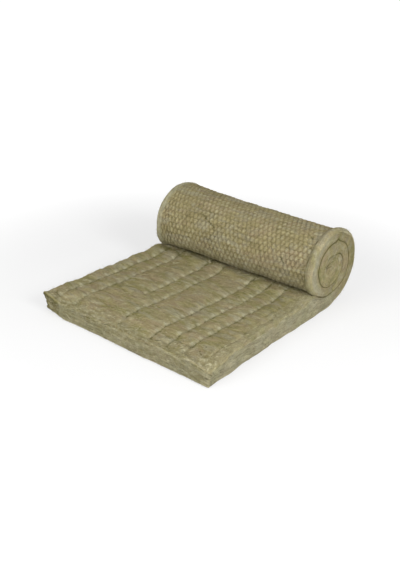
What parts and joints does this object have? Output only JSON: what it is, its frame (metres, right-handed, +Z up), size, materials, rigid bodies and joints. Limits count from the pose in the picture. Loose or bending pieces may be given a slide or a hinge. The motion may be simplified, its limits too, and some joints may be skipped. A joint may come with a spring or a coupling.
{
  "type": "insulation roll",
  "caption": "Stone wool wired mat, partly unrolled, with hexagonal wire netting on its outer face and rows of stitching wire.",
  "frame": {"origin": "on the floor, below the middle of the object's bounding box", "axes": "+X across the mat's width, +Y along the mat from its free end to the roll, +Z up"},
  "size_m": [1, 1.1934, 0.43],
  "materials": {
    "wool": "fibrous, matt, olive-khaki stone wool",
    "galvanised_wire": "dull galvanised",
    "stitching_wire": "dull galvanised"
  },
  "bodies": {
    "root": {"wool_mat": "wool", "wire_netting": "galvanised_wire", "stitch_wire_1": "stitching_wire", "stitch_wire_2": "stitching_wire", "stitch_wire_3": "stitching_wire", "stitch_wire_4": "stitching_wire", "stitch_wire_5": "stitching_wire", "stitch_wire_6": "stitching_wire", "stitch_wire_7": "stitching_wire"}
  },
  "joints": []
}
